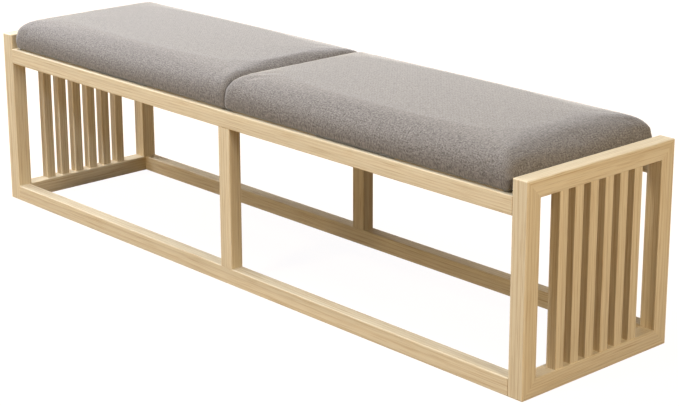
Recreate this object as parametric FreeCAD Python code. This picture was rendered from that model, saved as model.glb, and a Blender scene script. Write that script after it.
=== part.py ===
import FreeCAD, Part
import math
import os

# A long bench for the foot of a bed, in millimetres.
# The origin is on the floor under the middle of the bench. X runs along it, -Y is its front and Z is up.
# Two mitred, slatted end frames carry two seat rails and two floor rails. Two upholstered pads lift off.

# Whole bench
BENCH_LENGTH = 1630.0
BENCH_DEPTH = 400.0
FRAME_HEIGHT = 400.0

# Wood sections
POST = 35.0             # square stock of the end frames
RAIL_THICK = 30.0       # long rails and centre posts, front to back
RAIL_HEIGHT = 35.0      # long rails, and the width of the centre posts
SEAT_DROP = 33.0        # from the top of the end frames down to the seat rails
ARRIS = 2.5             # rounding of the long edges
SLAT = 22.0             # square slats
SLAT_COUNT = 6
SLAT_PITCH = 40.5
SLAT_SETBACK = 2.5      # from the outer face of the end frame
SLAT_ARRIS = 1.5

# Hidden joints of the end frames
STUB_SIDE = 14.0        # stub tenons of the slats
STUB_LENGTH = 10.0
MORTISE_ROOM = 0.5      # left free at the bottom of every mortise and dowel hole
TENON_THICK = 8.0       # loose tenons in the mitres
TENON_WIDTH = 16.0
TENON_LENGTH = 24.0

# Joints of the long rails
DOWEL_DIAMETER = 8.0
DOWEL_LENGTH = 30.0
DOWEL_IN_FRAME = 12.0   # how far a rail dowel reaches into the end frame
RAIL_DOWEL_IN = 11.0    # from the outer face of the rail
RAIL_DOWEL_UP = 25.0    # from the underside of the rail
BOLT_DIAMETER = 6.0
BOLT_HEAD = 7.5
BOLT_HEAD_LENGTH = 3.0
BOLT_NECK = 4.5
BOLT_IN_FRAME = 11.0
BOLT_IN = 19.0          # from the outer face of the rail
BOLT_UP = 10.0          # from the underside of the rail
CAM_DIAMETER = 15.0
CAM_HEIGHT = 13.0
CAM_FROM_END = 24.0
CAM_RECESS = 0.5        # the cam sits this far inside the underside
CAM_SLOT = 1.6
CAM_SLOT_DEPTH = 2.5
CAM_SLOT_REACH = 5.0    # from the middle of the cam
POST_DOWEL_APART = 18.0
POST_DOWEL_IN = 13.0    # from the outer face
POST_DOWEL_IN_RAIL = 14.0
BORE_ROOM = 0.1         # radial room round every dowel, bolt, cam and screw

# Seat bearers
BEARER_WIDTH = 35.0
BEARER_HEIGHT = 22.0
BEARER_HOUSING = 12.0   # how far a bearer is let into each seat rail
BEARER_ARRIS = 1.5
BEARER_OFFSET = 390.0   # of the outer bearers from the middle

# Countersunk screws
SCREW_DIAMETER = 4.0
SCREW_HEAD = 8.0
SCREW_HEAD_HEIGHT = 2.4
SCREW_LENGTH = 30.0
SCREW_POINT = 4.0
SCREW_SINK = 0.3
CROSS_WIDTH = 1.2
CROSS_LENGTH = 4.6
CROSS_DEPTH = 1.6

# Seat pads
PAD_END_GAP = 9.0       # from a pad to its end frame
PAD_SPLIT = 2.0         # between the two pads
PAD_DEPTH = 398.0
PAD_CORNER = 8.0        # corner radius of the pad from above, which grows towards its top
PAD_CORNER_GROWTH = 0.25
PAD_SIDE = 36.0         # height of the upright part of the sides
PAD_EDGE_RISE = 34.0    # the rounded top edge is a quarter ellipse, this high
PAD_EDGE_RUN = 50.0     # and this wide
PAD_INNER_RUN = 22.0    # or this wide, where the two pads press against each other
PAD_EDGE_STEPS = 6
PAD_CROWN = 4.0         # rise of the top above its rounded edge
PAD_TUCK = 5.0          # the lower edge turns in by this much
PAD_TUCK_HEIGHT = 11.0
PAD_DRAW_IN = 2.5       # the sides draw in by this much between the corners
COVER_THICK = 1.5
COVER_TURN_UNDER = 40.0
FOAM_ROOM = 0.6
BOARD_THICK = 12.0
BOARD_INSET = 9.0
BOARD_CORNER = 12.0
CLOTH_GAP = 1.0
BATTEN_WIDTH = 30.0
BATTEN_HEIGHT = 20.0
BATTEN_CLEARANCE = 2.0
BATTEN_FROM_END = 125.0
BATTEN_SCREW_FROM_END = 60.0

# Places worked out from the sizes above
HALF_LENGTH = BENCH_LENGTH / 2
HALF_DEPTH = BENCH_DEPTH / 2
INNER_X = HALF_LENGTH - POST
SEAT_Z = FRAME_HEIGHT - SEAT_DROP
SEAT_RAIL_Z = SEAT_Z - RAIL_HEIGHT
BORE_GAP = 2 * BORE_ROOM
VECTOR = FreeCAD.Vector
X_AXIS = VECTOR(1, 0, 0)
Y_AXIS = VECTOR(0, 1, 0)
Z_AXIS = VECTOR(0, 0, 1)


def bar(corner, size, axis, rounding):
    """A bar of wood, from its lowest corner, with the four edges along the axis (0, 1 or 2) rounded."""
    stock = Part.makeBox(*size, VECTOR(*corner))
    edges = [e for e in stock.Edges if abs(e.tangentAt(e.FirstParameter)[axis]) > 0.99]
    return stock.makeFillet(rounding, edges)


def block(low, high):
    """A plain block between two corners."""
    return Part.makeBox(*[b - a for a, b in zip(low, high)], VECTOR(*low))


def rod(start, direction, length, diameter):
    """A round rod, or the tool for a round hole."""
    return Part.makeCylinder(diameter / 2, length, VECTOR(*start), direction)


def flip(shape, axis):
    """The mirror image across the middle of the bench."""
    return shape.mirror(VECTOR(0, 0, 0), axis)


def four_ways(shape):
    """A front right shape, with its copies at the rear and on the left."""
    pair = [shape, flip(shape, Y_AXIS)]
    return pair + [flip(s, X_AXIS) for s in pair]


def save(node, *shapes):
    """Writes one node. Several shapes become a group of separate solids."""
    shape = shapes[0] if len(shapes) == 1 else Part.makeCompound(list(shapes))
    solids = shape.Solids
    if not all(s.isValid() for s in solids):
        raise ValueError(node + " has a solid that isn't valid")
    shape.exportStep("parts/" + node + ".step")
    volume = sum(s.Volume for s in solids)
    print(f"{node}: {len(solids)} solid(s), {volume / 1000:.2f} cm3")


def screw(head_at, direction):
    """A countersunk wood screw with a cross recess. The head's flat face is at head_at."""
    shank_end = SCREW_LENGTH - SCREW_POINT
    half_section = [
        VECTOR(0, 0, 0),
        VECTOR(SCREW_HEAD / 2, 0, 0),
        VECTOR(SCREW_DIAMETER / 2, 0, SCREW_HEAD_HEIGHT),
        VECTOR(SCREW_DIAMETER / 2, 0, shank_end),
        VECTOR(0, 0, SCREW_LENGTH),
        VECTOR(0, 0, 0),
    ]
    shape = Part.Face(Part.makePolygon(half_section)).revolve(VECTOR(0, 0, 0), Z_AXIS, 360)
    half_long, half_wide = CROSS_LENGTH / 2, CROSS_WIDTH / 2
    along = block((-half_long, -half_wide, 0), (half_long, half_wide, CROSS_DEPTH))
    across = block((-half_wide, -half_long, 0), (half_wide, half_long, CROSS_DEPTH))
    shape = shape.cut(along.fuse(across))
    shape.Placement = FreeCAD.Placement(VECTOR(*head_at), FreeCAD.Rotation(Z_AXIS, direction))
    return shape


def screw_hole(head_at, direction):
    """The tool for a screw's countersunk hole, a little larger than the screw and open above its head."""
    room = BORE_ROOM
    half_section = [
        VECTOR(0, 0, -SCREW_SINK - 1),
        VECTOR(SCREW_HEAD / 2 + room, 0, -SCREW_SINK - 1),
        VECTOR(SCREW_HEAD / 2 + room, 0, 0),
        VECTOR(SCREW_DIAMETER / 2 + room, 0, SCREW_HEAD_HEIGHT),
        VECTOR(SCREW_DIAMETER / 2 + room, 0, SCREW_LENGTH + MORTISE_ROOM),
        VECTOR(0, 0, SCREW_LENGTH + MORTISE_ROOM),
        VECTOR(0, 0, -SCREW_SINK - 1),
    ]
    shape = Part.Face(Part.makePolygon(half_section)).revolve(VECTOR(0, 0, 0), Z_AXIS, 360)
    shape.Placement = FreeCAD.Placement(VECTOR(*head_at), FreeCAD.Rotation(Z_AXIS, direction))
    return shape


# End frames: built on the right, and mirrored for the left.

def mitred(stock, shape_line):
    """A bar of the right end frame, cut to a mitred shape of (y, z) points, with round outer corners."""
    points = [VECTOR(INNER_X, y, z) for y, z in shape_line + shape_line[:1]]
    cut_line = Part.Face(Part.makePolygon(points)).extrude(VECTOR(POST, 0, 0))
    whole = bar((INNER_X, -HALF_DEPTH, 0), (POST, BENCH_DEPTH, FRAME_HEIGHT), 0, ARRIS)
    return stock.common(cut_line).common(whole)


def mitre_tenon(room):
    """The loose tenon of the lower front mitre, or its mortise where room is more than nothing."""
    length = TENON_LENGTH + 2 * room
    corner = VECTOR(-TENON_THICK / 2, -length / 2, -TENON_WIDTH / 2)
    shape = Part.makeBox(TENON_THICK, length, TENON_WIDTH, corner)
    middle = VECTOR(INNER_X + POST / 2, -HALF_DEPTH + POST / 2, POST / 2)
    shape.Placement = FreeCAD.Placement(middle, FreeCAD.Rotation(X_AXIS, -45))
    return shape


def corner_tenons(room):
    """The loose tenons, or the mortises, of all four corners of the right end frame."""
    lower = mitre_tenon(room)
    upper = lower.mirror(VECTOR(0, 0, FRAME_HEIGHT / 2), Z_AXIS)
    return [lower, upper, flip(lower, Y_AXIS), flip(upper, Y_AXIS)]


def slat_y(index):
    """The middle of a slat, counted from the front."""
    return (index - (SLAT_COUNT - 1) / 2) * SLAT_PITCH


SLAT_X = HALF_LENGTH - SLAT_SETBACK - SLAT / 2


def slat_stub(index, low, high):
    """A stub tenon of a slat, or its mortise, between two heights."""
    half, middle = STUB_SIDE / 2, slat_y(index)
    return block((SLAT_X - half, middle - half, low), (SLAT_X + half, middle + half, high))


def slat(index):
    """An upright slat with a stub tenon at each end."""
    low, high = POST, FRAME_HEIGHT - POST
    corner = (SLAT_X - SLAT / 2, slat_y(index) - SLAT / 2, low)
    shape = bar(corner, (SLAT, SLAT, high - low), 2, SLAT_ARRIS)
    stubs = [slat_stub(index, low - STUB_LENGTH, low), slat_stub(index, high, high + STUB_LENGTH)]
    return shape.fuse(stubs).removeSplitter()


# Each long rail meets the end frames with a dowel and a cam fitting, made here for the front right end.

RAIL_BASES = (0.0, SEAT_RAIL_Z)
CAM_X = INNER_X - CAM_FROM_END


def rail_dowel(base, room=0.0):
    """The dowel at the end of a rail whose underside is at base, or its hole."""
    end_room = MORTISE_ROOM if room else 0.0
    start = (INNER_X + DOWEL_IN_FRAME + end_room, -HALF_DEPTH + RAIL_DOWEL_IN, base + RAIL_DOWEL_UP)
    return rod(start, -X_AXIS, DOWEL_LENGTH + 2 * end_room, DOWEL_DIAMETER + 2 * room)


def cam_bolt(base):
    """The bolt that screws into the end frame and whose head the cam pulls on."""
    y, z = -HALF_DEPTH + BOLT_IN, base + BOLT_UP
    head_start = CAM_X + BOLT_HEAD_LENGTH / 2
    shank_end = CAM_X + CAM_DIAMETER / 2
    tip = INNER_X + BOLT_IN_FRAME
    shank = rod((tip, y, z), -X_AXIS, tip - shank_end, BOLT_DIAMETER)
    neck = rod((shank_end, y, z), -X_AXIS, shank_end - head_start, BOLT_NECK)
    head = rod((head_start, y, z), -X_AXIS, BOLT_HEAD_LENGTH, BOLT_HEAD)
    return shank.fuse([neck, head])


def bolt_hole(base):
    """The straight hole for a cam bolt, from inside the end frame to the cam."""
    start = (INNER_X + BOLT_IN_FRAME + MORTISE_ROOM, -HALF_DEPTH + BOLT_IN, base + BOLT_UP)
    return rod(start, -X_AXIS, start[0] - CAM_X, BOLT_DIAMETER + BORE_GAP)


def cam_hole(base):
    """The blind hole for a cam, drilled into the underside of a rail."""
    start = (CAM_X, -HALF_DEPTH + BOLT_IN, base - 1)
    return rod(start, Z_AXIS, 1 + CAM_RECESS + CAM_HEIGHT + MORTISE_ROOM, CAM_DIAMETER + BORE_GAP)


def cam(base):
    """A cam: a round body with a cross slot in its lower face and a mouth that takes the bolt's head."""
    y, z = -HALF_DEPTH + BOLT_IN, base + CAM_RECESS
    shape = rod((CAM_X, y, z), Z_AXIS, CAM_HEIGHT, CAM_DIAMETER)
    mouth_x = CAM_X - BOLT_HEAD
    mouth = rod((mouth_x, y, base + BOLT_UP), X_AXIS, CAM_DIAMETER + BOLT_HEAD, BOLT_HEAD + 2 * BORE_GAP)
    half, reach, deep = CAM_SLOT / 2, CAM_SLOT_REACH, z + CAM_SLOT_DEPTH
    slot_x = block((CAM_X - reach, y - half, z), (CAM_X + reach, y + half, deep))
    slot_y = block((CAM_X - half, y - reach, z), (CAM_X + half, y + reach, deep))
    return shape.cut([mouth, slot_x, slot_y])


def build_end_frames():
    """Both end frames, with their slats and loose tenons."""
    y, top = HALF_DEPTH, FRAME_HEIGHT
    mortises = corner_tenons(MORTISE_ROOM)
    fittings = []
    for base in RAIL_BASES:
        front = [rail_dowel(base, BORE_ROOM), bolt_hole(base)]
        fittings += front + [flip(s, Y_AXIS) for s in front]

    post_stock = bar((INNER_X, -y, 0), (POST, POST, top), 2, ARRIS)
    post_line = [(-y, 0), (-y, top), (-y + POST, top - POST), (-y + POST, POST)]
    front_post = mitred(post_stock, post_line).cut(mortises + fittings)

    bottom_stock = bar((INNER_X, -y, 0), (POST, BENCH_DEPTH, POST), 1, ARRIS)
    bottom_line = [(-y, 0), (-y + POST, POST), (y - POST, POST), (y, 0)]
    slat_feet = [slat_stub(i, POST - STUB_LENGTH - MORTISE_ROOM, POST) for i in range(SLAT_COUNT)]
    bottom_rail = mitred(bottom_stock, bottom_line).cut(mortises + fittings + slat_feet)

    top_stock = bar((INNER_X, -y, top - POST), (POST, BENCH_DEPTH, POST), 1, ARRIS)
    top_line = [(-y, top), (y, top), (y - POST, top - POST), (-y + POST, top - POST)]
    low = top - POST
    slat_heads = [slat_stub(i, low, low + STUB_LENGTH + MORTISE_ROOM) for i in range(SLAT_COUNT)]
    top_rail = mitred(top_stock, top_line).cut(mortises + slat_heads)

    members = {
        "front_post": front_post,
        "rear_post": flip(front_post, Y_AXIS),
        "top_rail": top_rail,
        "bottom_rail": bottom_rail,
    }
    for index in range(SLAT_COUNT):
        members[f"slat_{index + 1}"] = slat(index)
    for name, shape in members.items():
        save("right_end_" + name, shape)
        save("left_end_" + name, flip(shape, X_AXIS))
    tenons = corner_tenons(0.0)
    save("right_end_mitre_tenons", *tenons)
    save("left_end_mitre_tenons", *[flip(t, X_AXIS) for t in tenons])


# Long rails, centre posts and seat bearers: built at the front, and mirrored for the rear.

BEARER_PLACES = {"left": -BEARER_OFFSET, "centre": 0.0, "right": BEARER_OFFSET}
BEARER_END_Y = HALF_DEPTH - RAIL_THICK + BEARER_HOUSING
BEARER_SCREW_Y = HALF_DEPTH - RAIL_THICK + BEARER_HOUSING / 2
BEARER_SCREW_Z = SEAT_Z - SCREW_SINK


def long_rail(base):
    """A front rail with its underside at base, and the holes at its two ends."""
    corner = (-INNER_X, -HALF_DEPTH, base)
    shape = bar(corner, (2 * INNER_X, RAIL_THICK, RAIL_HEIGHT), 0, ARRIS)
    right = [rail_dowel(base, BORE_ROOM), bolt_hole(base), cam_hole(base)]
    return shape.cut(right + [flip(s, X_AXIS) for s in right])


def post_dowels(room=0.0):
    """The four dowels of the front centre post, or their holes."""
    end_room = MORTISE_ROOM if room else 0.0
    shapes = []
    for x in (-POST_DOWEL_APART / 2, POST_DOWEL_APART / 2):
        for start in (RAIL_HEIGHT - POST_DOWEL_IN_RAIL, SEAT_RAIL_Z + POST_DOWEL_IN_RAIL - DOWEL_LENGTH):
            foot = (x, -HALF_DEPTH + POST_DOWEL_IN, start - end_room)
            shapes.append(rod(foot, Z_AXIS, DOWEL_LENGTH + 2 * end_room, DOWEL_DIAMETER + 2 * room))
    return shapes


def build_long_frames():
    """The front and rear rails and centre posts, with their dowels and cam fittings."""
    holes = post_dowels(BORE_ROOM)
    half = BEARER_WIDTH / 2
    housings = []
    screw_holes = []
    for x in BEARER_PLACES.values():
        low = (x - half, -BEARER_END_Y, SEAT_Z - BEARER_HEIGHT)
        high = (x + half, -HALF_DEPTH + RAIL_THICK + 1, SEAT_Z + 1)
        housings.append(block(low, high))
        screw_holes.append(screw_hole((x, -BEARER_SCREW_Y, BEARER_SCREW_Z), -Z_AXIS))

    post_corner = (-RAIL_HEIGHT / 2, -HALF_DEPTH, RAIL_HEIGHT)
    post_size = (RAIL_HEIGHT, RAIL_THICK, SEAT_RAIL_Z - RAIL_HEIGHT)
    pieces = {
        "seat_rail": long_rail(SEAT_RAIL_Z).cut(holes + housings + screw_holes),
        "floor_rail": long_rail(0.0).cut(holes),
        "centre_post": bar(post_corner, post_size, 2, ARRIS).cut(holes),
    }
    for name, shape in pieces.items():
        save("front_" + name, shape)
        save("rear_" + name, flip(shape, Y_AXIS))

    dowels = post_dowels()
    save("centre_post_dowels", *dowels, *[flip(d, Y_AXIS) for d in dowels])
    makers = {"rail_dowels": rail_dowel, "rail_cam_bolts": cam_bolt, "rail_cams": cam}
    for name, make in makers.items():
        save(name, *[copy for base in RAIL_BASES for copy in four_ways(make(base))])


def build_bearers():
    """The three seat bearers and the screws that hold their ends down."""
    screws = []
    for name, x in BEARER_PLACES.items():
        corner = (x - BEARER_WIDTH / 2, -BEARER_END_Y, SEAT_Z - BEARER_HEIGHT)
        shape = bar(corner, (BEARER_WIDTH, 2 * BEARER_END_Y, BEARER_HEIGHT), 1, BEARER_ARRIS)
        heads = [(x, side * BEARER_SCREW_Y, BEARER_SCREW_Z) for side in (-1, 1)]
        save("seat_bearer_" + name, shape.cut([screw_hole(h, -Z_AXIS) for h in heads]))
        screws += [screw(h, -Z_AXIS) for h in heads]
    save("bearer_screws", *screws)


# Seat pads: built on the right, and mirrored for the left.

PAD_LOW_X = PAD_SPLIT / 2
PAD_HIGH_X = INNER_X - PAD_END_GAP
PAD_HALF_DEPTH = PAD_DEPTH / 2
PAD_RIM = PAD_SIDE + PAD_EDGE_RISE
CROWN_STEPS = ((0.35, 0.55), (0.7, 0.9), (0.93, 1.0))  # share of the way to the middle, share of the crown


def outline(inset, inner_inset, height, draw_in, corner):
    """A level line of the pad: a rectangle with round corners, whose sides are arcs that draw in."""
    low_x, high_x = PAD_LOW_X + inner_inset, PAD_HIGH_X - inset
    middle_x = (low_x + high_x) / 2
    half_x, half_y = (high_x - low_x) / 2, PAD_HALF_DEPTH - inset
    z = SEAT_Z + height
    radius = min(corner, 0.8 * half_y)
    bend = radius * (1 - math.sqrt(0.5))

    def at(x, y):
        return VECTOR(middle_x + x, y, z)

    edges = []
    for turn in (1, -1):
        ends = [at(-turn * (half_x - radius), -turn * half_y), at(turn * (half_x - radius), -turn * half_y)]
        edges.append(side_edge(ends[0], at(0, -turn * (half_y - draw_in)), ends[1]))
        after = at(turn * half_x, -turn * (half_y - radius))
        near = at(turn * (half_x - bend), -turn * (half_y - bend))
        edges.append(Part.Arc(ends[1], near, after).toShape())
        beyond = at(turn * half_x, turn * (half_y - radius))
        edges.append(side_edge(after, at(turn * (half_x - draw_in), 0), beyond))
        last = at(turn * (half_x - radius), turn * half_y)
        far = at(turn * (half_x - bend), turn * (half_y - bend))
        edges.append(Part.Arc(beyond, far, last).toShape())
    return Part.Wire(edges)


def side_edge(start, middle, end):
    """A side of an outline: an arc, or a straight line where its middle lies on it."""
    if middle.distanceToLineSegment(start, end).Length < 0.01:
        return Part.LineSegment(start, end).toShape()
    return Part.Arc(start, middle, end).toShape()


def pad_profile(skin, base):
    """The pad's edge from its base up to its crown, as (inset, height), a skin inside the outside."""
    points = [(PAD_TUCK + skin, base)] if base < PAD_TUCK_HEIGHT else []
    points.append((skin, max(base, PAD_TUCK_HEIGHT)))
    for step in range(PAD_EDGE_STEPS + 1):
        angle = math.radians(90 * step / PAD_EDGE_STEPS)
        inward, down = PAD_EDGE_RISE * math.cos(angle), PAD_EDGE_RUN * math.sin(angle)
        share = skin / math.hypot(inward, down)
        inset = PAD_EDGE_RUN * (1 - math.cos(angle)) + inward * share
        points.append((inset, PAD_SIDE + PAD_EDGE_RISE * math.sin(angle) - down * share))
    for way, rise in CROWN_STEPS:
        inset = PAD_EDGE_RUN + way * (PAD_HALF_DEPTH - PAD_EDGE_RUN)
        points.append((inset, PAD_RIM + PAD_CROWN * rise - skin))
    return points


def pad_form(skin, base):
    """The crowned form of a pad, a skin inside its outside, from a height above the seat rails up."""
    wires = []
    for inset, height in pad_profile(skin, base):
        inner_inset = skin + (inset - skin) * PAD_INNER_RUN / PAD_EDGE_RUN
        draw_in = PAD_DRAW_IN * min(1.0, height / PAD_RIM)
        corner = PAD_CORNER + PAD_CORNER_GROWTH * inset
        wires.append(outline(inset, inner_inset, height, draw_in, corner))
    return Part.makeLoft(wires, True, True)


def plate(inset, low, high, corner):
    """A flat plate with round corners under the pad, between two heights above the seat rails."""
    face = Part.Face(outline(inset, inset, low, 0.0, corner))
    return face.extrude(VECTOR(0, 0, high - low))


def build_pads():
    """Both seat pads: cover, foam, board, dust cloth, battens and screws."""
    board_top = COVER_THICK + BOARD_THICK
    window = plate(COVER_TURN_UNDER, -1.0, COVER_THICK + 1, PAD_CORNER)
    cover = pad_form(0.0, 0.0).cut(pad_form(COVER_THICK, COVER_THICK)).cut(window)
    foam = pad_form(COVER_THICK + FOAM_ROOM, board_top)

    batten_half = HALF_DEPTH - RAIL_THICK - BATTEN_CLEARANCE
    batten_low = SEAT_Z - BATTEN_HEIGHT
    batten_x = {"inner": PAD_LOW_X + BATTEN_FROM_END, "outer": PAD_HIGH_X - BATTEN_FROM_END}
    screw_y = batten_half - BATTEN_SCREW_FROM_END
    heads = [(x, y, batten_low + SCREW_SINK) for x in batten_x.values() for y in (-screw_y, screw_y)]
    holes = [screw_hole(h, Z_AXIS) for h in heads]

    pieces = {
        "cover": cover,
        "foam": foam,
        "board": plate(BOARD_INSET, COVER_THICK, board_top, BOARD_CORNER).cut(holes),
        "dust_cloth": plate(COVER_TURN_UNDER + CLOTH_GAP, 0.0, COVER_THICK, PAD_CORNER).cut(holes),
    }
    for name, x in batten_x.items():
        corner = (x - BATTEN_WIDTH / 2, -batten_half, batten_low)
        shape = bar(corner, (BATTEN_WIDTH, 2 * batten_half, BATTEN_HEIGHT), 1, BEARER_ARRIS)
        pieces["batten_" + name] = shape.cut(holes)
    for name, shape in pieces.items():
        save("right_pad_" + name, shape)
        save("left_pad_" + name, flip(shape, X_AXIS))
    screws = [screw(h, Z_AXIS) for h in heads]
    save("right_pad_screws", *screws)
    save("left_pad_screws", *[flip(s, X_AXIS) for s in screws])


os.makedirs("parts", exist_ok=True)
build_end_frames()
build_long_frames()
build_bearers()
build_pads()
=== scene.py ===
# %% [markdown]
# # A bed bench
# A long bench with two slatted end frames of pale wood, two seat rails, two floor rails and two upholstered pads.
# The wooden pieces arrive as finished solids, so Blender gives them their surfaces. The pads are soft, so they are
# modelled here, and their fabric is pulled tight by a cloth simulation.

# %% Load the bench
import math
import random

import bmesh
import bpy
import numpy as np
from mathutils import Euler, Matrix, Vector


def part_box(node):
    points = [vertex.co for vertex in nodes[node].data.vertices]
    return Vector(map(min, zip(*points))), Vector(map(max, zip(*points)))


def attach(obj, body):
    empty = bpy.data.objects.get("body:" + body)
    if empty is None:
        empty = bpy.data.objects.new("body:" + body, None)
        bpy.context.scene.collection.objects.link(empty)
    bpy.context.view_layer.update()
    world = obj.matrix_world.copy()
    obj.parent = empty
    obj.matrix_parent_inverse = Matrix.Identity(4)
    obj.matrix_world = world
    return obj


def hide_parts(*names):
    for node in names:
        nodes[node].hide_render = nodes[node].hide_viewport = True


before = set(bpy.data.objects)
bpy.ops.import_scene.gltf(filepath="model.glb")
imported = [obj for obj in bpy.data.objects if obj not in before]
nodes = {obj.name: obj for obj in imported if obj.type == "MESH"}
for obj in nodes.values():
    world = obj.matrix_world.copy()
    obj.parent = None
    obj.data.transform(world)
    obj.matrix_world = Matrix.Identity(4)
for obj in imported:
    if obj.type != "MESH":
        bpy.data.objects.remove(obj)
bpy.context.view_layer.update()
scene = bpy.context.scene
MM = 0.001

# %% [markdown]
# ## Camera
# The bench is seen from its front right, a little above the seat. A camera can be aimed with a constraint, but here
# it is turned with three plain rotations: round the upright axis, down to the bench, and a slight lean. The long lens
# keeps the far end large, and the small vertical shift frames the bench low without tilting the lens further.

# %% Camera
VIEW_TURN = math.radians(47.67)
VIEW_DROP = math.radians(15.9)
VIEW_LEAN = math.radians(-0.18)
CAMERA_PLACE = Vector((2.6945, -2.3383, 1.2628))
PHOTO_WIDTH = 679
FOCAL_PIXELS = 1768.95
SHIFT_PIXELS = -53
camera_data = bpy.data.cameras.new("camera")
camera_data.sensor_width = 36.0
camera_data.lens = camera_data.sensor_width * FOCAL_PIXELS / PHOTO_WIDTH
camera_data.shift_y = SHIFT_PIXELS / PHOTO_WIDTH
camera = bpy.data.objects.new("camera", camera_data)
scene.collection.objects.link(camera)
turn = Matrix.Rotation(VIEW_TURN, 4, "Z")
drop = Matrix.Rotation(math.pi / 2 - VIEW_DROP, 4, "X")
lean = Matrix.Rotation(VIEW_LEAN, 4, "Z")
camera.matrix_world = Matrix.Translation(CAMERA_PLACE) @ turn @ drop @ lean
scene.camera = camera
print("lens", round(camera_data.lens, 1), "mm")

# %% [markdown]
# ## Helpers for materials
# Colours are written as sRGB hex values, which is how they are read off a screen, and shaders work in linear light,
# so one function converts them. A second one adds a shader node: it sets the node's properties and its inputs, and
# where an input's value is another node's output, it makes the link.

# %% Colour and node helpers
def linear(code):
    """A hex colour as linear red, green, blue and alpha."""
    channels = [int(code[i:i + 2], 16) / 255 for i in (1, 3, 5)]
    return [c / 12.92 if c <= 0.04045 else ((c + 0.055) / 1.055) ** 2.4 for c in channels] + [1.0]


def add(tree, kind, inputs, **settings):
    """Adds a shader node, sets its properties, and fills or links its inputs."""
    made = tree.nodes.new("ShaderNode" + kind)
    for name, value in settings.items():
        setattr(made, name, value)
    for socket, value in inputs.items():
        if isinstance(value, bpy.types.NodeSocket):
            tree.links.new(value, made.inputs[socket])
        else:
            made.inputs[socket].default_value = value
    return made


def new_material(name):
    """A node material with nothing in it yet."""
    material = bpy.data.materials.new(name)
    material.use_nodes = True
    material.node_tree.nodes.clear()
    return material, material.node_tree


MIX_A, MIX_B, MIX_RESULT = 6, 7, 2  # the colour sockets of a Mix node
NUMBER_A, NUMBER_B = 2, 3           # its number sockets
print("cream is", [round(c, 3) for c in linear("#FFF0D0")])

# %% [markdown]
# ## Floor and light
# The bench stands on a plain floor in soft light. The floor could be a curved backdrop, but a large plane and a white
# world give the same clean ground from every side. Both look white and still send little light to the bench, because
# a shader can tell a ray that ends in the picture from one that only carries light to other things.

# %% Rays that end in the picture
def seen_directly(tree):
    """1 for what the camera sees, also in a reflection or through glass, and 0 for light on its way elsewhere."""
    ray = add(tree, "LightPath", {})
    seen = add(tree, "Math", {0: ray.outputs["Is Camera Ray"], 1: ray.outputs["Is Glossy Ray"]}, operation="MAXIMUM")
    seen = add(tree, "Math", {0: seen.outputs[0], 1: ray.outputs["Is Transmission Ray"]}, operation="MAXIMUM")
    return seen.outputs[0]


print("white for camera, glossy and transmission rays")

# %% [markdown]
# The floor's own colour is a mid sand tone, which sends only a little warm light back up under the seat. For what the
# camera sees, it adds a glow to that shading, faintly cool to balance the sand, so it comes out white. Near the bench
# the glow leaves room for a faint shadow, and further off it is full, so the floor's edge doesn't show against the
# world.

# %% Floor
FLOOR_SIZE = 40.0
SHADOW_REACH = 1.2          # from the middle of the bench, in metres
FULL_GLOW_FROM = 5.0        # likewise
NEAR_GLOW, FAR_GLOW = 0.96, 1.04
floor_form = bmesh.new()
bmesh.ops.create_grid(floor_form, x_segments=1, y_segments=1, size=FLOOR_SIZE / 2)
floor_mesh = bpy.data.meshes.new("floor")
floor_form.to_mesh(floor_mesh)
floor_form.free()
floor = bpy.data.objects.new("floor", floor_mesh)
scene.collection.objects.link(floor)

plain_floor, tree = new_material("plain matt floor")
seen = seen_directly(tree)
matt = add(tree, "BsdfDiffuse", {"Color": linear("#866C44")})
place = add(tree, "TexCoord", {})
away = add(tree, "VectorMath", {0: place.outputs["Object"]}, operation="LENGTH")
fullness = add(tree, "MapRange", {
    "Value": away.outputs["Value"], "From Min": SHADOW_REACH, "From Max": FULL_GLOW_FROM,
    "To Min": NEAR_GLOW, "To Max": FAR_GLOW,
})
glow_strength = add(tree, "Math", {0: seen, 1: fullness.outputs[0]}, operation="MULTIPLY")
glow = add(tree, "Emission", {"Color": linear("#FBFCFF"), "Strength": glow_strength.outputs[0]})
both = add(tree, "AddShader", {0: matt.outputs[0], 1: glow.outputs[0]})
add(tree, "OutputMaterial", {"Surface": both.outputs[0]})
floor_mesh.materials.append(plain_floor)
print("floor", FLOOR_SIZE, "m wide")

# %% [markdown]
# The world is white to the eye and dim and warm as a light, so it only lifts the shadows.

# %% World
WORLD_LIGHT = 0.1
world = bpy.data.worlds.new("studio")
scene.world = world
world.use_nodes = True
tree = world.node_tree
tree.nodes.clear()
seen = seen_directly(tree)
level = add(tree, "MapRange", {"Value": seen, "To Min": WORLD_LIGHT, "To Max": 1.0})
warmth = add(tree, "Mix", {0: seen, MIX_A: linear("#FFD8A0"), MIX_B: linear("#FFFFFF")}, data_type="RGBA")
sky = add(tree, "Background", {"Color": warmth.outputs[MIX_RESULT], "Strength": level.outputs[0]})
add(tree, "OutputWorld", {"Surface": sky.outputs[0]})
print("world light", WORLD_LIGHT)

# %% [markdown]
# Area lamps do the rest, as soft boxes would in a studio. The main one stands high in front, so steep that the seat
# keeps it off the rear rail's top, and nearly square to the bench, so the slats shade each other's sides. A wide lamp
# overhead and one at the left lift the tops, a warmer one beyond the right end lights the outer faces there, and two
# weak ones low in front and behind reach under the seat.

# %% Lamps
SEAT_MIDDLE = (0.0, 0.0, 0.4)
FRAME_MIDDLE = (0.0, 0.0, 0.2)


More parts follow.
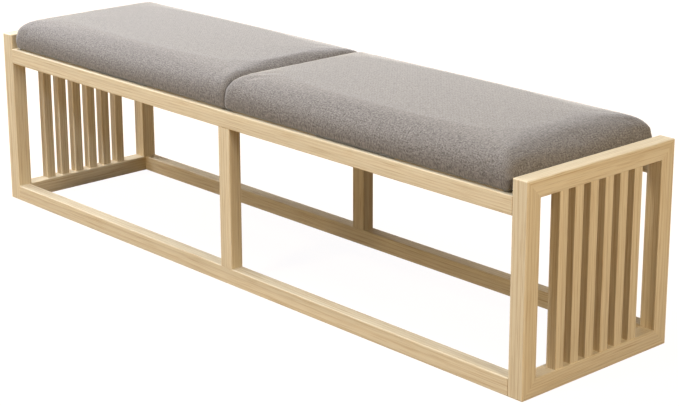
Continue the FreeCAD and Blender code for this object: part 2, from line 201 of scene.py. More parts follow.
def lamp(name, place, aim, size, power, tint):
    """A rectangular area lamp at a place, turned to a point. Its size is in metres and its power in watts."""
    data = bpy.data.lights.new(name, "AREA")
    data.shape = "RECTANGLE"
    data.size, data.size_y = size
    data.energy = power
    data.color = linear(tint)[:3]
    made = bpy.data.objects.new(name, data)
    made.location = place
    made.rotation_euler = (Vector(aim) - Vector(place)).to_track_quat("-Z", "Y").to_euler()
    scene.collection.objects.link(made)


lamp("overhead", (-0.8, -0.4, 2.8), SEAT_MIDDLE, (2.4, 0.7), 61, "#F0F3FF")
lamp("left", (-2.8, -0.3, 1.7), SEAT_MIDDLE, (1.4, 1.0), 86, "#ECF1FF")
lamp("high front", (0.2, -3.5, 3.6), SEAT_MIDDLE, (1.2, 0.7), 112, "#D2E4FF")
lamp("low front", (0.1, -3.9, 0.6), FRAME_MIDDLE, (1.6, 0.4), 38, "#FFEBCC")
lamp("right", (3.4, -0.5, 1.8), SEAT_MIDDLE, (1.2, 1.0), 61, "#FFF1DE")
lamp("low rear", (0.0, 3.9, 0.4), FRAME_MIDDLE, (1.6, 0.5), 48, "#FFF4E6")
scene.view_settings.view_transform = "Standard"

# %% [markdown]
# ## Pale ash
# The frame is straight-grained pale wood with a satin lacquer. Every bar was sawn from somewhere in a trunk, so each
# piece gets its own material: the same rings round a distant pith, but from another place and angle, and a slightly
# different tone. An image would repeat, while this pattern is solid and stays right on every face. The first step
# turns the pattern to the bar's long axis and puts the pith beside the bar.

# %% A bar's place in the trunk
GRAIN_TURN = {"X": (0, 0, 0), "Y": (0, 0, -math.pi / 2), "Z": (0, math.pi / 2, 0)}
PITH_DISTANCE = (55, 95)    # least and most, from the middle of a bar, in mm
TRUNK_REACH = 3             # a bar comes from up to this far along the trunk, in metres


def bar_place(tree, node, grain, luck):
    """A bar's own coordinates: x runs along its grain, and the pith lies on the x axis."""
    low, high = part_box(node)
    turned = Euler(GRAIN_TURN[grain]).to_matrix()
    angle = luck.uniform(0, 2 * math.pi)
    pith = luck.uniform(*PITH_DISTANCE) * MM
    along = luck.uniform(-TRUNK_REACH, TRUNK_REACH)
    heart = Vector((along, pith * math.cos(angle), pith * math.sin(angle)))
    place = add(tree, "TexCoord", {})
    bar = add(tree, "Mapping", {
        "Vector": place.outputs["Object"],
        "Rotation": GRAIN_TURN[grain],
        "Location": heart - turned @ ((low + high) / 2),
    })
    return bar.outputs[0]


print("grain can run along", list(GRAIN_TURN))

# %% [markdown]
# Late wood, the denser end of each year's growth, draws the lines. A wave texture in rings makes one line a year, and
# a noise that is stretched along the bar lets the lines wander.

# %% Growth rings
RING_SPACING = 6 * MM       # real rings are 2 to 4 mm apart; drawn wider so that they show from across a room
RING_WANDER = 9 * MM
WANDER_LENGTH = 900 * MM
WANDER_WIDTH = 70 * MM
LATE_FROM = 0.55            # of a year's growth
LATE_MOST = 0.7             # of the late wood's own colour
WAVE_PERIOD = math.pi / 10  # of Blender's wave texture at a scale of 1, in metres


def late_wood(tree, bar):
    """How much late wood there is, from 0 to LATE_MOST."""
    along = add(tree, "Mapping", {
        "Vector": bar,
        "Scale": (1 / WANDER_LENGTH, 1 / WANDER_WIDTH, 1 / WANDER_WIDTH),
    })
    wander = add(tree, "TexNoise", {"Vector": along.outputs[0], "Scale": 1.0, "Detail": 2.0})
    centred = add(tree, "VectorMath", {0: wander.outputs["Color"], 1: (0.5, 0.5, 0.5)}, operation="SUBTRACT")
    pushed = add(tree, "VectorMath", {0: centred.outputs[0], "Scale": 2 * RING_WANDER}, operation="SCALE")
    bent = add(tree, "VectorMath", {0: bar, 1: pushed.outputs[0]}, operation="ADD")
    rings = add(tree, "TexWave", {
        "Vector": bent.outputs[0],
        "Scale": WAVE_PERIOD / RING_SPACING,
    }, wave_type="RINGS", rings_direction="X", wave_profile="SAW")
    share = add(tree, "MapRange", {
        "Value": rings.outputs["Fac"], "From Min": LATE_FROM, "From Max": 1.0, "To Max": LATE_MOST,
    }, interpolation_type="SMOOTHSTEP")
    return share.outputs[0]


print("a ring every", RING_SPACING / MM, "mm")

# %% [markdown]
# Fibres and pores run along the grain, and broad streaks show where the tree grew faster. Both are noises stretched
# along the bar. The fibres also roughen the lacquer a little, so they drive the gloss and a faint relief. A lacquer
# this thin reflects less than a polished one, so the specular level is low.

# %% Pale ash
FIBRE_WIDTH = 1.6 * MM      # real fibres and pores are finer than 0.3 mm; drawn wider so that they show
FIBRE_LENGTH = 90 * MM
STREAK_WIDTH = 14 * MM
STREAK_LENGTH = 500 * MM
FIBRE_FROM, FIBRE_FULL = 0.5, 0.74      # of the noise: where a fibre starts to show, and where it is darkest
FIBRE_MOST = 0.7                        # of the fibre's own colour
STREAK_LOW, STREAK_HIGH = 0.3, 0.7      # of the noise, which seldom goes beyond them
DARK_STREAK, LIGHT_STREAK = (0.91, 0.95), (1.01, 1.05)  # least and most tone, drawn for each bar


def pale_ash(node, grain, pale="#E7D6B2", late="#D5BE93", fibre="#B59057"):
    """Sawn, sanded and satin lacquered ash: cream with darker late wood lines and fine fibres along the grain."""
    luck = random.Random(node)
    material, tree = new_material("satin ash " + node)
    bar = bar_place(tree, node, grain, luck)
    fine = add(tree, "Mapping", {"Vector": bar, "Scale": (1 / FIBRE_LENGTH, 1 / FIBRE_WIDTH, 1 / FIBRE_WIDTH)})
    fibres = add(tree, "TexNoise", {"Vector": fine.outputs[0], "Scale": 1.0, "Detail": 3.0, "Roughness": 0.6})
    dark_fibre = add(tree, "MapRange", {
        "Value": fibres.outputs["Fac"], "From Min": FIBRE_FROM, "From Max": FIBRE_FULL, "To Max": FIBRE_MOST,
    })
    broad = add(tree, "Mapping", {"Vector": bar, "Scale": (1 / STREAK_LENGTH, 1 / STREAK_WIDTH, 1 / STREAK_WIDTH)})
    streaks = add(tree, "TexNoise", {"Vector": broad.outputs[0], "Scale": 1.0, "Detail": 2.0})
    tone = add(tree, "MapRange", {
        "Value": streaks.outputs["Fac"], "From Min": STREAK_LOW, "From Max": STREAK_HIGH,
        "To Min": luck.uniform(*DARK_STREAK), "To Max": luck.uniform(*LIGHT_STREAK),
    })
    colour = add(tree, "Mix", {0: late_wood(tree, bar), MIX_A: linear(pale), MIX_B: linear(late)}, data_type="RGBA")
    colour = add(tree, "Mix", {
        0: dark_fibre.outputs[0], MIX_A: colour.outputs[MIX_RESULT], MIX_B: linear(fibre),
    }, data_type="RGBA")
    toned = add(tree, "VectorMath", {0: colour.outputs[MIX_RESULT], "Scale": tone.outputs[0]}, operation="SCALE")
    gloss = add(tree, "MapRange", {"Value": fibres.outputs["Fac"], "To Min": 0.46, "To Max": 0.62})
    relief = add(tree, "Bump", {"Height": fibres.outputs["Fac"], "Strength": 0.25, "Distance": 0.15 * MM})
    wood = add(tree, "BsdfPrincipled", {
        "Base Color": toned.outputs[0],
        "Roughness": gloss.outputs[0],
        "Specular IOR Level": 0.3,
        "Normal": relief.outputs[0],
    })
    add(tree, "OutputMaterial", {"Surface": wood.outputs[0]})
    return material


print("fibres", FIBRE_WIDTH / MM, "by", FIBRE_LENGTH / MM, "mm")

# %% [markdown]
# Now the bars get their wood. Each bar is named for its place, so its name tells which way its grain runs: along the
# bench in the seat and floor rails, across it in the end frames' rails, and upwards in posts and slats.

# %% Wood on the frame
def dress(node, material):
    """Puts one material on a solid."""
    nodes[node].data.materials.clear()
    nodes[node].data.materials.append(material)


wooden = [n for n in nodes if ("_end_" in n and "tenons" not in n) or n.startswith(("front_", "rear_"))]
for node in wooden:
    if node.endswith(("seat_rail", "floor_rail")):
        grain = "X"
    elif node.endswith(("top_rail", "bottom_rail")):
        grain = "Y"
    else:
        grain = "Z"
    dress(node, pale_ash(node, grain))
print(len(wooden), "pieces of pale ash")

# %% [markdown]
# The bearers under the seat and the battens under the pads are the same wood, only planed and left bare, so they are
# a little darker.

# %% Planed bearers and battens
planed = [n for n in nodes if ("bearer_" in n and "screws" not in n) or "_batten_" in n]
for node in planed:
    dress(node, pale_ash(node, "Y", pale="#D9BE93", late="#BF9C6A", fibre="#A07C4B"))
print(len(planed), "planed bars")

# %% [markdown]
# ## Hidden wood
# Dowels and loose tenons are turned and planed beech, which has short dark flecks and no visible rings. The pad
# boards are plywood, whose edge shows thin layers. Neither shows on the finished bench, but a lifted pad or a part
# taken out of the model should still look like what it is.

# %% Beech dowels and tenons
FLECK_LENGTH = 6 * MM
FLECK_WIDTH = 0.8 * MM
FLECK_FROM, FLECK_FULL = 0.5, 0.75  # of the noise: where a fleck starts, and where it is darkest


def beech(name, grain):
    """Turned beech: pinkish tan with short darker flecks along the grain."""
    material, tree = new_material(name)
    place = add(tree, "TexCoord", {})
    scale = {axis: 1 / FLECK_WIDTH for axis in "XYZ"}
    scale[grain] = 1 / FLECK_LENGTH
    fine = add(tree, "Mapping", {"Vector": place.outputs["Object"], "Scale": [scale[axis] for axis in "XYZ"]})
    flecks = add(tree, "TexNoise", {"Vector": fine.outputs[0], "Scale": 1.0, "Detail": 2.0})
    share = add(tree, "MapRange", {"Value": flecks.outputs["Fac"], "From Min": FLECK_FROM, "From Max": FLECK_FULL})
    colour = add(tree, "Mix", {
        0: share.outputs[0], MIX_A: linear("#D2AE86"), MIX_B: linear("#A87B52"),
    }, data_type="RGBA")
    wood = add(tree, "BsdfPrincipled", {"Base Color": colour.outputs[MIX_RESULT], "Roughness": 0.62})
    add(tree, "OutputMaterial", {"Surface": wood.outputs[0]})
    return material


dress("rail_dowels", beech("turned beech along the rails", "X"))
dress("centre_post_dowels", beech("turned beech, upright", "Z"))
for side in ("left", "right"):
    dress(f"{side}_end_mitre_tenons", beech(f"planed beech, {side} tenons", "Y"))
print("flecks", FLECK_LENGTH / MM, "mm long")

# %% Plywood boards
PLY = 1.5 * MM
PLY_FIBRE_DEPTH = 50 * MM   # more than the board's thickness, so its faces match
birch_ply, tree = new_material("birch plywood")  # pale tan, with thin darker layers on its edges
place = add(tree, "TexCoord", {})
layers = add(tree, "TexWave", {"Vector": place.outputs["Object"], "Scale": WAVE_PERIOD / (2 * PLY)},
             wave_type="BANDS", bands_direction="Z")
fine = add(tree, "Mapping", {
    "Vector": place.outputs["Object"],
    "Scale": (1 / FIBRE_LENGTH, 1 / FIBRE_WIDTH, 1 / PLY_FIBRE_DEPTH),
})
fibres = add(tree, "TexNoise", {"Vector": fine.outputs[0], "Scale": 1.0, "Detail": 3.0})
share = add(tree, "Math", {0: layers.outputs["Fac"], 1: fibres.outputs["Fac"]}, operation="MULTIPLY")
colour = add(tree, "Mix", {0: share.outputs[0], MIX_A: linear("#DCC49A"), MIX_B: linear("#A98455")}, data_type="RGBA")
board_wood = add(tree, "BsdfPrincipled", {"Base Color": colour.outputs[MIX_RESULT], "Roughness": 0.65})
add(tree, "OutputMaterial", {"Surface": board_wood.outputs[0]})
for side in ("left", "right"):
    dress(f"{side}_pad_board", birch_ply)
print("layers of", PLY / MM, "mm")

# %% [markdown]
# ## Metal fittings
# The screws and cam bolts are zinc plated steel, bright with a faint bluish cast and fine turning marks. The cams are
# die cast zinc, which is greyer and duller. Both are metals, so their colour tints the reflection.

# %% Plated steel and cast zinc
GRIT = 0.4 * MM             # the real grain is finer than 0.1 mm; drawn wider so that it shows


def metal(name, colour_code, rough_low, rough_high):
    """A plated or cast metal whose gloss varies from point to point."""
    material, tree = new_material(name)
    place = add(tree, "TexCoord", {})
    grains = add(tree, "TexNoise", {"Vector": place.outputs["Object"], "Scale": 1 / GRIT, "Detail": 2.0})
    gloss = add(tree, "MapRange", {"Value": grains.outputs["Fac"], "To Min": rough_low, "To Max": rough_high})
    relief = add(tree, "Bump", {"Height": grains.outputs["Fac"], "Strength": 0.1, "Distance": 0.05 * MM})
    surface = add(tree, "BsdfPrincipled", {
        "Base Color": linear(colour_code),
        "Metallic": 1.0,
        "Roughness": gloss.outputs[0],
        "Normal": relief.outputs[0],
    })
    add(tree, "OutputMaterial", {"Surface": surface.outputs[0]})
    return material


zinc_plated = metal("zinc plated steel", "#B9BDC1", 0.22, 0.38)
cast_zinc = metal("die cast zinc", "#9A9B9C", 0.4, 0.6)
plated = ("rail_cam_bolts", "bearer_screws", "left_pad_screws", "right_pad_screws")
for node in plated:
    dress(node, zinc_plated)
dress("rail_cams", cast_zinc)
print(len(plated), "groups of plated fittings, and the cams")

# %% [markdown]
# ## Seat pads
# A pad is foam on a board, with a cover pulled tight over both and turned under the board. It could be left as a
# smooth box, but a real cover bridges hollows and swells a little, so its skin is simulated. First comes the profile
# of its side, as steps from the foot upwards: the fold under the board, the leaning side, the rounded top edge as
# part of a superellipse, and the crown. Where the two pads meet they press on each other, so the edge is fuller.

# %% The profile of a pad
COVER = 1.5 * MM            # thickness of the fabric and its wadding
SWELL = 0.5 * MM            # room for the cover to swell
FOOT_ROUND = 6 * MM         # the cover turns under the board with this radius
TUCK = 4 * MM               # the sides lean in by this much towards the foot
TUCK_HEIGHT = 30 * MM       # where the sides are widest
EDGE_RUN = 52 * MM          # width of the rounded top edge
EDGE_POWER = 2.3            # of its superellipse: 2 is a plain ellipse, and more is boxier
INNER_RUN = 14 * MM         # width of the top edge where the two pads meet
OVERFILL = 4 * MM           # there each pad would be this much longer if the other one didn't press on it
CROWN = 4 * MM              # rise of the top towards its middle
FOOT_STEPS, TUCK_STEPS, EDGE_STEPS, CROWN_STEPS = 4, 3, 12, 5


def pad_profile(thick, half_depth):
    """Steps of a pad's side: how far in it lies at the free sides and at the inner end, and how high."""
    steps = []
    for number in range(FOOT_STEPS):
        angle = number / FOOT_STEPS * math.pi / 2
        turned_in, raised = FOOT_ROUND * (1 - math.sin(angle)), FOOT_ROUND * (1 - math.cos(angle))
        steps.append((TUCK * (1 - raised / TUCK_HEIGHT) ** 2 + turned_in, turned_in - OVERFILL, raised))
    for number in range(TUCK_STEPS + 1):
        raised = FOOT_ROUND + (TUCK_HEIGHT - FOOT_ROUND) * number / TUCK_STEPS
        up = raised / TUCK_HEIGHT
        steps.append((TUCK * (1 - up) ** 2 + SWELL * up, -OVERFILL, raised))
    rim = thick - CROWN - SWELL
    for number in range(1, EDGE_STEPS + 1):
        angle = number / EDGE_STEPS * math.pi / 2
        way_in = 1 - max(0.0, math.cos(angle)) ** (2 / EDGE_POWER)
        raised = TUCK_HEIGHT + (rim - TUCK_HEIGHT) * math.sin(angle) ** (2 / EDGE_POWER)
        steps.append((SWELL + EDGE_RUN * way_in, (INNER_RUN + OVERFILL) * way_in - OVERFILL, raised))
    for number in range(1, CROWN_STEPS + 1):
        further = number / (CROWN_STEPS + 1) * (half_depth - EDGE_RUN - SWELL)
        steps.append((SWELL + EDGE_RUN + further, INNER_RUN + further, rim))
    crowned = [CROWN * (1 - (1 - max(0.0, free_in - SWELL) / half_depth) ** 2) for free_in, _, _ in steps]
    return [(free_in, inner_in, raised + more) for (free_in, inner_in, raised), more in zip(steps, crowned)]


low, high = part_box("left_pad_cover")
profile = pad_profile(high.z - low.z - 2 * COVER, (high.y - low.y) / 2 - COVER)
print(len(profile), "steps, up to", round(profile[-1][2] / MM, 1), "mm")

# %% [markdown]
# Each pad is extruded from its foot, a flat outline with small round corners. Every step moves the top face up and
# draws it in. Because the inner end has steps of its own, each outline also shifts a little along the bench.

# %% Extrude the pads
CORNER = 3 * MM             # of the foot
CORNER_SEGMENTS = 6
INWARD = {"left": 1, "right": -1}


def extruded_pad(side):
    """A pad without its cover, extruded from its foot to its crown."""
    low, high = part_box(f"{side}_pad_cover")
    middle, half = (low + high) / 2, (high - low) / 2
    rings = []
    for free_in, inner_in, raised in profile:
        size = Vector((half.x - COVER - (free_in + inner_in) / 2, half.y - COVER - free_in, 1.0))
        rings.append((size, Vector((INWARD[side] * (free_in - inner_in) / 2, 0, raised))))
    form = bmesh.new()
    bmesh.ops.create_grid(form, x_segments=1, y_segments=1, size=1.0)
    bmesh.ops.scale(form, verts=form.verts, vec=rings[0][0])
    bmesh.ops.bevel(form, geom=form.verts[:], offset=CORNER, segments=CORNER_SEGMENTS, profile=0.5,
                    affect="VERTICES", material=-1)
    bmesh.ops.translate(form, verts=form.verts, vec=rings[0][1])
    top = form.faces[:]
    for (old_size, old_place), (size, place) in zip(rings, rings[1:]):
        made = bmesh.ops.extrude_face_region(form, geom=top)["geom"]
        top = [g for g in made if isinstance(g, bmesh.types.BMFace)]
        ring = [g for g in made if isinstance(g, bmesh.types.BMVert)]
        bmesh.ops.translate(form, verts=ring, vec=-old_place)
        bmesh.ops.scale(form, verts=ring, vec=(size.x / old_size.x, size.y / old_size.y, 1.0))
        bmesh.ops.translate(form, verts=ring, vec=place)
    bmesh.ops.translate(form, verts=form.verts, vec=(middle.x, middle.y, low.z + COVER))
    bmesh.ops.recalc_face_normals(form, faces=form.faces)
    mesh = bpy.data.meshes.new(f"{side}_seat_pad")
    form.to_mesh(mesh)
    form.free()
    pad = bpy.data.objects.new(f"{side}_seat_pad", mesh)
    scene.collection.objects.link(pad)
    return pad


pads = {side: extruded_pad(side) for side in INWARD}
print("extruded", [pad.name for pad in pads.values()])

# %% [markdown]
# A cloth simulation wants points that lie evenly, and a voxel remesh spreads them so. Foam doesn't fill sharp
# corners, so the upright corners are smoothed above the foot. A stretched cover also pulls the sides in between the
# corners, so those are moved in a little, most in the middle of each side.

# %% Even skins with eased corners
PAD_VOXEL = 5.5 * MM
SOFT_CORNER = 55 * MM       # the corners are eased this far along the sides
SOFT_PASSES = 8
SOFT_FACTOR = 0.5           # each pass moves a point this far towards the middle of its neighbours
DRAW_IN = 2.5 * MM


def settle(piece):
    """Replaces a piece's mesh by what its modifiers make of it."""
    evaluated = piece.evaluated_get(bpy.context.evaluated_depsgraph_get())
    mesh = bpy.data.meshes.new_from_object(evaluated)
    piece.modifiers.clear()
    old, piece.data = piece.data, mesh
    bpy.data.meshes.remove(old)


def points_of(mesh):
    """The places of a mesh's points as an array."""
    flat = np.empty(len(mesh.vertices) * 3, np.float32)
    mesh.vertices.foreach_get("co", flat)
    return flat.reshape(-1, 3)


def even_skin(pad, side):
    """Remeshes a pad, eases its corners and draws its sides in between them."""
    remesh = pad.modifiers.new("one skin", "REMESH")
    remesh.mode = "VOXEL"
    remesh.voxel_size = PAD_VOXEL
    settle(pad)
    low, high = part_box(f"{side}_pad_cover")
    middle, half = (low + high) / 2, (high - low) / 2
    form = bmesh.new()
    form.from_mesh(pad.data)
    eased = [v for v in form.verts if v.co.z > low.z + TUCK_HEIGHT
             and abs(v.co.x - middle.x) > half.x - SOFT_CORNER and abs(v.co.y - middle.y) > half.y - SOFT_CORNER]
    for _ in range(SOFT_PASSES):
        bmesh.ops.smooth_vert(form, verts=eased, factor=SOFT_FACTOR,
                              use_axis_x=True, use_axis_y=True, use_axis_z=True)
    form.to_mesh(pad.data)
    form.free()
    points = points_of(pad.data)
    along, across = (points[:, 0] - middle.x) / half.x, (points[:, 1] - middle.y) / half.y
    above_foot = np.clip((points[:, 2] - low.z) / TUCK_HEIGHT, 0.0, 1.0)
    points[:, 0] -= DRAW_IN * along * np.clip(1 - across ** 2, 0.0, 1.0) * above_foot
    points[:, 1] -= DRAW_IN * across * np.clip(1 - along ** 2, 0.0, 1.0) * above_foot
    pad.data.vertices.foreach_set("co", points.ravel())


for side, pad in pads.items():
    even_skin(pad, side)
    print(side, "skin of", len(pad.data.vertices), "points")

# %% [markdown]
# Blender's Cloth presses the skin outwards for some frames. The underside is held still, because there the cover is
# stapled to the board, and no point may move further than a tight cover would.

# %% Pull the covers tight
MOST_MOVE = 5 * MM
PRESS_FRAMES = 20
PRESSURE = 0.5
STEPS_PER_FRAME = 5
HARDLY_ANY = 1e-9           # keeps a point that didn't move from being divided by zero


def pull_tight(pad, side):
    """Presses the cover outwards from inside, with its underside held and its movement capped."""
    rest = points_of(pad.data)
    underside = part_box(f"{side}_pad_cover")[0].z + PAD_VOXEL
    held = pad.vertex_groups.new(name="stapled")
    held.add([int(i) for i in np.flatnonzero(rest[:, 2] < underside)], 1.0, "REPLACE")
    cloth = pad.modifiers.new("cover", "CLOTH")
    cloth.settings.vertex_group_mass = "stapled"
    cloth.settings.use_pressure = True
    cloth.settings.uniform_pressure_force = PRESSURE
    cloth.settings.effector_weights.gravity = 0.0
    cloth.settings.quality = STEPS_PER_FRAME
    for number in range(1, PRESS_FRAMES + 1):
        scene.frame_set(number)
    settle(pad)
    scene.frame_set(1)
    move = points_of(pad.data) - rest
    length = np.linalg.norm(move, axis=1, keepdims=True)
    capped = rest + move * np.minimum(1.0, MOST_MOVE / np.maximum(length, HARDLY_ANY))
    pad.data.vertices.foreach_set("co", capped.ravel())
    pad.data.update()
    return float(length.max())


for side, pad in pads.items():
    print(side, "cover moved up to", round(pull_tight(pad, side) / MM, 1), "mm before the cap")

# %% [markdown]
# The skin lies where the foam ends, so it is moved out by the cover's thickness. Under the board it is pressed flat,
# and the part inside the turned-under edge is let in a little for the dust cloth. Where the pads meet, each is
# flattened just short of the middle.

# %% Thickness, underside and meeting faces
CLOTH_RECESS = 0.8 * MM
PAD_CLEARANCE = 0.1 * MM    # from the middle of the bench
FACING_DOWN = -0.9          # a point belongs to the underside if its normal's height is below this


def fit_pad(pad, side):
    """Adds the cover's thickness and flattens the pad where it rests and where it meets the other one."""
    mesh = pad.data
    points = points_of(mesh)
    normals = np.array([v.normal for v in mesh.vertices])
    points += normals * COVER
    cover_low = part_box(f"{side}_pad_cover")[0]
    cloth_low, cloth_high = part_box(f"{side}_pad_dust_cloth")
    under = normals[:, 2] < FACING_DOWN
    points[under, 2] = cover_low.z
    inside = under & np.all((points[:, :2] > cloth_low.xy) & (points[:, :2] < cloth_high.xy), axis=1)
    points[inside, 2] += CLOTH_RECESS
    points[:, 0] = -INWARD[side] * np.maximum(-INWARD[side] * points[:, 0], PAD_CLEARANCE)
    mesh.vertices.foreach_set("co", points.astype(np.float32).ravel())
    mesh.update()
    return points, normals


fitted = {side: fit_pad(pad, side) for side, pad in pads.items()}
for side, (points, _) in fitted.items():
    low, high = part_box(f"{side}_pad_cover")
    beyond = [*(np.array(low) - points.min(0)), *(points.max(0) - np.array(high))]
    print(side, "pad goes beyond its solid by", [round(float(v) / MM, 1) for v in beyond], "mm")

# %% [markdown]
# The weave should follow the cover as it wraps over the edge, so each point gets a flat cloth position: where it lies
# from above, plus how far down the side it is. That goes into a UV map. One subdivision rounds the mesh, and then the
# pad takes the place of the solid cover and foam.

# %% Cloth coordinates and finish
def finish_pad(pad, side):
    """Stores the cloth's own coordinates, rounds the mesh and puts the pad in place of its solids."""
    mesh = pad.data
    points, normals = fitted[side]
    down = points[:, 2].max() - points[:, 2]
    flat = points[:, :2] + normals[:, :2] * down[:, None]
    corners = np.empty(len(mesh.loops), np.int32)
    mesh.loops.foreach_get("vertex_index", corners)
    weave_map = mesh.uv_layers.new(name="cloth")
    weave_map.uv.foreach_set("vector", flat[corners].astype(np.float32).ravel())
    mesh.polygons.foreach_set("use_smooth", np.ones(len(mesh.polygons), bool))
    rounding = pad.modifiers.new("rounding", "SUBSURF")
    rounding.levels = rounding.render_levels = 1
    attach(pad, f"{side}_pad")
    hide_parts(f"{side}_pad_cover", f"{side}_pad_foam")


for side, pad in pads.items():
    finish_pad(pad, side)
    print(pad.name, len(pad.data.polygons), "faces")

# %% [markdown]
# ## Woven upholstery fabric
# The cover is a flat, fine plain weave of grey and taupe yarns, each a little lighter or darker along its length, so
# the cloth looks speckled. It could be one noise, but two sets of threads that pass over and under each other give
# the weave its order up close. This first cell makes the threads' height and tone.

# %% Threads
THREAD = 1.8 * MM           # real threads are about 0.8 mm wide; drawn wider so that the weave shows
SLUB = 16 * MM              # length of a lighter or darker stretch of yarn
FLECK = 4 * MM              # size of a light or dark fleck where slubs cross; real ones are about 2 mm
FLECK_SHARE = 0.6           # how much of the tone the flecks give, and the yarns the rest
seat_fabric, tree = new_material("woven melange upholstery")
cloth_place = add(tree, "UVMap", {}, uv_map="cloth")
thread_scale = WAVE_PERIOD / (2 * THREAD)
warp = add(tree, "TexWave", {"Vector": cloth_place.outputs[0], "Scale": thread_scale}, bands_direction="X")
weft = add(tree, "TexWave", {"Vector": cloth_place.outputs[0], "Scale": thread_scale}, bands_direction="Y")
over = add(tree, "TexChecker", {"Vector": cloth_place.outputs[0], "Scale": 1 / (2 * THREAD)})
height = add(tree, "Mix", {
    0: over.outputs["Fac"], NUMBER_A: warp.outputs["Fac"], NUMBER_B: weft.outputs["Fac"],
}, data_type="FLOAT")
warp_yarn = add(tree, "Mapping", {"Vector": cloth_place.outputs[0], "Scale": (1 / (2 * THREAD), 1 / SLUB, 1)})
weft_yarn = add(tree, "Mapping", {"Vector": cloth_place.outputs[0], "Scale": (1 / SLUB, 1 / (2 * THREAD), 1)})
warp_tone = add(tree, "TexNoise", {"Vector": warp_yarn.outputs[0], "Scale": 1.0, "Detail": 2.0})
weft_tone = add(tree, "TexNoise", {"Vector": weft_yarn.outputs[0], "Scale": 1.0, "Detail": 2.0})
yarn = add(tree, "Mix", {
    0: over.outputs["Fac"], NUMBER_A: warp_tone.outputs["Fac"], NUMBER_B: weft_tone.outputs["Fac"],
}, data_type="FLOAT")
fleck = add(tree, "TexNoise", {"Vector": cloth_place.outputs[0], "Scale": 1 / FLECK, "Detail": 3.0, "Roughness": 0.7})
yarn = add(tree, "Mix", {
    0: FLECK_SHARE, NUMBER_A: yarn.outputs[0], NUMBER_B: fleck.outputs["Fac"],
}, data_type="FLOAT")
print("threads", THREAD / MM, "mm wide")

# %% [markdown]
# Where the cover turns under, it lies deep in the gap to the rail, where shade falls. Its last few millimetres get
# painted shade: their colour is drawn darker, which gives the thin dark line under each pad. The line follows the
# pad's own height, so it bakes with the fabric.

# %% Painted shade at the foot
PAINTED_SHADE_HEIGHT = 10 * MM       # above the foot
FOLD_PAINTED_SHADE_LEVEL = 0.1            # of the yarn's colour, right at the foot
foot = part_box("left_pad_cover")[0].z
place = add(tree, "TexCoord", {})
raised = add(tree, "SeparateXYZ", {0: place.outputs["Object"]})
# painted shade: the yarn's colour darkens towards the foot, where the cover lies in the gap to the rail
painted_fold_shade = add(tree, "MapRange", {
    "Value": raised.outputs["Z"], "From Min": foot, "From Max": foot + PAINTED_SHADE_HEIGHT, "To Min": FOLD_PAINTED_SHADE_LEVEL,
}, interpolation_type="SMOOTHSTEP")
print("the fold is", PAINTED_SHADE_HEIGHT / MM, "mm high")

# %% [markdown]
# The tone picks a colour between the dark and the light yarn. The grooves between threads are drawn a little darker
# and the ridges a little lighter, as painted shade and painted light.
# Loose fibres on the surface catch light at a low angle, which is why the tops look paler than the fronts. That is
# the shader's sheen, and the soft yarn itself hardly shines.

# %% Seat fabric
DARK_YARN, LIGHT_YARN = 0.39, 0.61      # of the tone: all dark below the first, and all light above the second
GROOVE_PAINTED_SHADE, RIDGE_PAINTED_LIGHT = 0.94, 1.02
share = add(tree, "MapRange", {"Value": yarn.outputs[0], "From Min": DARK_YARN, "From Max": LIGHT_YARN})
colour = add(tree, "Mix", {0: share.outputs[0], MIX_A: linear("#57514A"), MIX_B: linear("#948D84")}, data_type="RGBA")
# painted shade in the grooves and painted light on the ridges of the weave
weave_painted_shade = add(tree, "MapRange", {"Value": height.outputs[0], "To Min": GROOVE_PAINTED_SHADE, "To Max": RIDGE_PAINTED_LIGHT})
# painted shade: the fold at the foot and the grooves of the weave darken the yarn's colour
shade = add(tree, "Math", {0: painted_fold_shade.outputs[0], 1: weave_painted_shade.outputs[0]}, operation="MULTIPLY")
shaded = add(tree, "VectorMath", {0: colour.outputs[MIX_RESULT], "Scale": shade.outputs[0]}, operation="SCALE")
relief = add(tree, "Bump", {"Height": height.outputs[0], "Strength": 0.3, "Distance": 0.3 * MM})
cloth = add(tree, "BsdfPrincipled", {
    "Base Color": shaded.outputs[0],
    "Roughness": 0.92,
    "Specular IOR Level": 0.25,
    "Sheen Weight": 0.9,
    "Sheen Roughness": 0.4,
    "Sheen Tint": linear("#F0EEE8"),
    "Normal": relief.outputs[0],
})
add(tree, "OutputMaterial", {"Surface": cloth.outputs[0]})
for pad in pads.values():
    pad.data.materials.clear()
    pad.data.materials.append(seat_fabric)
print("covered", len(pads), "pads")

# %% [markdown]
# ## Dust cloth
# Under each board a thin black non-woven cloth covers the turned-under edge of the cover. It is a flat sheet, stapled
# all round, so a grid with thickness is enough, and the fine dimples of the non-woven come from its material.

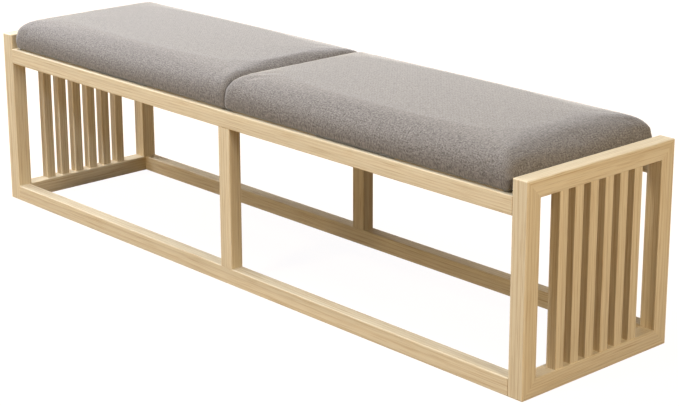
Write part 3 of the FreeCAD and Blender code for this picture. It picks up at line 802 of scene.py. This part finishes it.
# %% Black non-woven
DIMPLE = 2.5 * MM           # real ones are 1 to 2 mm apart; drawn wider so that they show
DIMPLE_EDGE = 0.7           # of the pattern's cell, where a dimple ends
black_cloth, tree = new_material("black non-woven cloth")  # dull, near black, with a pressed pattern of dimples
place = add(tree, "TexCoord", {})
dimples = add(tree, "TexVoronoi", {"Vector": place.outputs["Object"], "Scale": 1 / DIMPLE})
shade = add(tree, "MapRange", {"Value": dimples.outputs["Distance"], "From Max": DIMPLE_EDGE})
colour = add(tree, "Mix", {0: shade.outputs[0], MIX_A: linear("#141414"), MIX_B: linear("#2B2A29")}, data_type="RGBA")
relief = add(tree, "Bump", {"Height": dimples.outputs["Distance"], "Strength": 0.4, "Distance": 0.2 * MM})
felt = add(tree, "BsdfPrincipled", {
    "Base Color": colour.outputs[MIX_RESULT],
    "Roughness": 0.85,
    "Normal": relief.outputs[0],
})
add(tree, "OutputMaterial", {"Surface": felt.outputs[0]})
print("dimples", DIMPLE / MM, "mm apart")

# %% Dust cloths
CLOTH_THICK = 0.4 * MM
CLOTH_CELLS = (44, 20)


def dust_cloth(side):
    """A sheet that spans the window of the cover, just above the seat rails."""
    low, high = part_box(f"{side}_pad_dust_cloth")
    middle, size = (low + high) / 2, high - low
    form = bmesh.new()
    bmesh.ops.create_grid(form, x_segments=CLOTH_CELLS[0], y_segments=CLOTH_CELLS[1], size=0.5)
    bmesh.ops.scale(form, verts=form.verts, vec=(size.x, size.y, 1.0))
    bmesh.ops.translate(form, verts=form.verts, vec=(middle.x, middle.y, low.z + CLOTH_THICK / 2))
    bmesh.ops.solidify(form, geom=form.faces[:], thickness=CLOTH_THICK)
    mesh = bpy.data.meshes.new(f"{side}_dust_cloth")
    form.to_mesh(mesh)
    form.free()
    sheet = bpy.data.objects.new(f"{side}_dust_cloth", mesh)
    scene.collection.objects.link(sheet)
    mesh.materials.append(black_cloth)
    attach(sheet, f"{side}_pad")
    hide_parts(f"{side}_pad_dust_cloth")
    return size


for side in pads:
    cloth_size = dust_cloth(side)
    print(side, "dust cloth", round(cloth_size.x, 3), "by", round(cloth_size.y, 3), "m")
